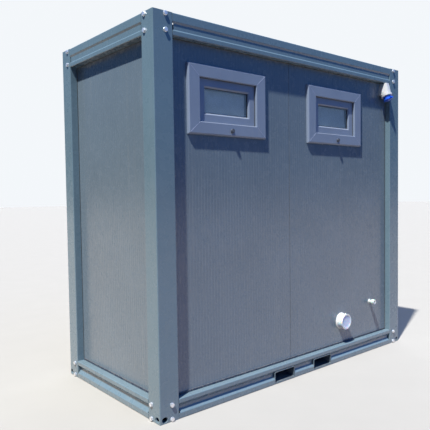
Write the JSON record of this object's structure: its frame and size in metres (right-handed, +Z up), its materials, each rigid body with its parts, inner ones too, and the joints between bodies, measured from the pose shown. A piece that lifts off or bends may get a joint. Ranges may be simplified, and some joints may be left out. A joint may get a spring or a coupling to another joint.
{
  "type": "sanitary container",
  "caption": "Small sanitary container with toilet cabins, bolted steel frame, grooved sandwich panels, tilting windows, doors, drain, water and power connections.",
  "frame": {"origin": "on the ground, under the middle of the steel frame", "axes": "+Z up, +X along the frame seen from the service side to the right, -Y out of the service side, +Y out of the door side"},
  "size_m": [2.702, 1.325, 2.5],
  "materials": {
    "frame_paint": "satin",
    "panel_paint": "satin",
    "bolt_steel": "satin",
    "galvanised": "matte",
    "floor_wood": "matte",
    "floor_vinyl": "matte",
    "inner_white": "satin",
    "window_pvc": "satin",
    "window_glass": "gloss",
    "pipe_white": "satin",
    "pipe_grey": "satin",
    "power_blue": "satin",
    "sanitary_ceramic": "gloss",
    "sanitary_plastic": "gloss",
    "lamp_white": "satin",
    "tap_chrome": "polished",
    "fitting_steel": "satin"
  },
  "bodies": {
    "container": {"post_service_left": "frame_paint", "post_service_right": "frame_paint", "post_door_left": "frame_paint", "post_door_right": "frame_paint", "floor_rail_service": "frame_paint", "floor_rail_door": "frame_paint", "floor_end_rails": "frame_paint", "roof_rail_service": "frame_paint", "roof_rail_door": "frame_paint", "roof_end_rails": "frame_paint", "corner_blocks": "frame_paint", "frame_bolts": "bolt_steel", "cross_members": "frame_paint", "fork_pockets": "frame_paint", "underside_sheet": "galvanised", "floor_board": "floor_wood", "floor_covering": "floor_vinyl", "roof_sheet": "galvanised", "ceiling_panel": "inner_white", "service_wall_panel_left": "panel_paint", "service_wall_panel_right": "panel_paint", "end_wall_panels": "panel_paint", "door_wall_panel_left": "panel_paint", "door_wall_panel_right": "panel_paint", "partition_wall": "inner_white", "window_frame_left": "window_pvc", "window_frame_right": "window_pvc", "door_frame_left": "frame_paint", "door_frame_right": "frame_paint", "inlet_housing": "pipe_white", "inlet_collar": "power_blue", "drain_socket": "pipe_white", "soil_pipe": "pipe_grey", "water_pipes": "pipe_white", "toilet_pans": "sanitary_ceramic", "cisterns": "sanitary_plastic", "wash_basins": "sanitary_ceramic", "basin_taps": "tap_chrome", "ceiling_lights": "lamp_white"},
    "door_leaf_left": {"door_leaf_left": "panel_paint"},
    "door_lever_left": {"door_lever_left": "fitting_steel"},
    "door_turn_left": {"door_turn_left": "fitting_steel"},
    "window_sash_left": {"window_sash_left": "window_pvc", "window_glass_left": "window_glass"},
    "window_handle_left": {"window_handle_left": "fitting_steel"},
    "toilet_seat_left": {"toilet_seat_left": "sanitary_plastic"},
    "toilet_lid_left": {"toilet_lid_left": "sanitary_plastic"},
    "flush_button_left": {"flush_button_left": "tap_chrome"},
    "tap_handle_left": {"tap_handle_left": "tap_chrome"},
    "door_leaf_right": {"door_leaf_right": "panel_paint"},
    "door_lever_right": {"door_lever_right": "fitting_steel"},
    "door_turn_right": {"door_turn_right": "fitting_steel"},
    "window_sash_right": {"window_sash_right": "window_pvc", "window_glass_right": "window_glass"},
    "window_handle_right": {"window_handle_right": "fitting_steel"},
    "toilet_seat_right": {"toilet_seat_right": "sanitary_plastic"},
    "toilet_lid_right": {"toilet_lid_right": "sanitary_plastic"},
    "flush_button_right": {"flush_button_right": "tap_chrome"},
    "tap_handle_right": {"tap_handle_right": "tap_chrome"},
    "inlet_lid": {"inlet_lid": "power_blue"}
  },
  "joints": [
    {"name": "door_hinge_left", "type": "hinge", "parent": "container", "child": "door_leaf_left", "pos_m": [-1.09, 0.588, 1.2], "axis": [0, 0, 1], "range_deg": [0, 110]},
    {"name": "door_lever_turn_left", "type": "hinge", "parent": "door_leaf_left", "child": "door_lever_left", "pos_m": [-0.332, 0.556, 1.2005], "axis": [0, -1, 0], "range_deg": [0, 40], "stiffness_Nm_per_rad": 1, "springref_deg": -28.65},
    {"name": "door_lock_turn_left", "type": "hinge", "parent": "door_leaf_left", "child": "door_turn_left", "pos_m": [-0.332, 0.556, 1.1225], "axis": [0, -1, 0], "range_deg": [0, 90]},
    {"name": "window_tilt_left", "type": "hinge", "parent": "container", "child": "window_sash_left", "pos_m": [-0.714, -0.509, 1.86], "axis": [-1, 0, 0], "range_deg": [0, 20]},
    {"name": "window_handle_turn_left", "type": "hinge", "parent": "window_sash_left", "child": "window_handle_left", "pos_m": [-0.714, -0.52, 2.13125], "axis": [0, -1, 0], "range_deg": [0, 90]},
    {"name": "seat_hinge_left", "type": "hinge", "parent": "container", "child": "toilet_seat_left", "pos_m": [-0.68, -0.325, 0.5685], "axis": [1, 0, 0], "range_deg": [0, 92]},
    {"name": "lid_hinge_left", "type": "hinge", "parent": "container", "child": "toilet_lid_left", "pos_m": [-0.68, -0.325, 0.5685], "axis": [1, 0, 0], "range_deg": [-95, 0]},
    {"name": "flush_slide_left", "type": "slide", "parent": "container", "child": "flush_button_left", "axis": [0, 0, -1], "range_m": [0, 0.005], "stiffness_N_per_m": 300, "springref_m": -0.004},
    {"name": "tap_turn_left", "type": "hinge", "parent": "container", "child": "tap_handle_left", "pos_m": [-1.191, 0.12, 1.0725], "axis": [0, 0, -1], "range_deg": [0, 90]},
    {"name": "door_hinge_right", "type": "hinge", "parent": "container", "child": "door_leaf_right", "pos_m": [1.09, 0.588, 1.2], "axis": [0, 0, -1], "range_deg": [0, 110]},
    {"name": "door_lever_turn_right", "type": "hinge", "parent": "door_leaf_right", "child": "door_lever_right", "pos_m": [0.332, 0.556, 1.2005], "axis": [0, 1, 0], "range_deg": [0, 40], "stiffness_Nm_per_rad": 1, "springref_deg": -28.65},
    {"name": "door_lock_turn_right", "type": "hinge", "parent": "door_leaf_right", "child": "door_turn_right", "pos_m": [0.332, 0.556, 1.1225], "axis": [0, 1, 0], "range_deg": [0, 90]},
    {"name": "window_tilt_right", "type": "hinge", "parent": "container", "child": "window_sash_right", "pos_m": [0.447, -0.509, 1.86], "axis": [-1, 0, 0], "range_deg": [0, 20]},
    {"name": "window_handle_turn_right", "type": "hinge", "parent": "window_sash_right", "child": "window_handle_right", "pos_m": [0.447, -0.52, 2.13125], "axis": [0, -1, 0], "range_deg": [0, 90]},
    {"name": "seat_hinge_right", "type": "hinge", "parent": "container", "child": "toilet_seat_right", "pos_m": [0.528, -0.325, 0.5685], "axis": [1, 0, 0], "range_deg": [0, 92]},
    {"name": "lid_hinge_right", "type": "hinge", "parent": "container", "child": "toilet_lid_right", "pos_m": [0.528, -0.325, 0.5685], "axis": [1, 0, 0], "range_deg": [-95, 0]},
    {"name": "flush_slide_right", "type": "slide", "parent": "container", "child": "flush_button_right", "axis": [0, 0, -1], "range_m": [0, 0.005], "stiffness_N_per_m": 300, "springref_m": -0.004},
    {"name": "tap_turn_right", "type": "hinge", "parent": "container", "child": "tap_handle_right", "pos_m": [1.191, 0.12, 1.0725], "axis": [0, 0, 1], "range_deg": [0, 90]},
    {"name": "inlet_lid_hinge", "type": "hinge", "parent": "container", "child": "inlet_lid", "pos_m": [1.133, -0.6815, 2.23313], "axis": [-1, 0, 0], "range_deg": [0, 115], "stiffness_Nm_per_rad": 0.03, "springref_deg": -85.94}
  ]
}
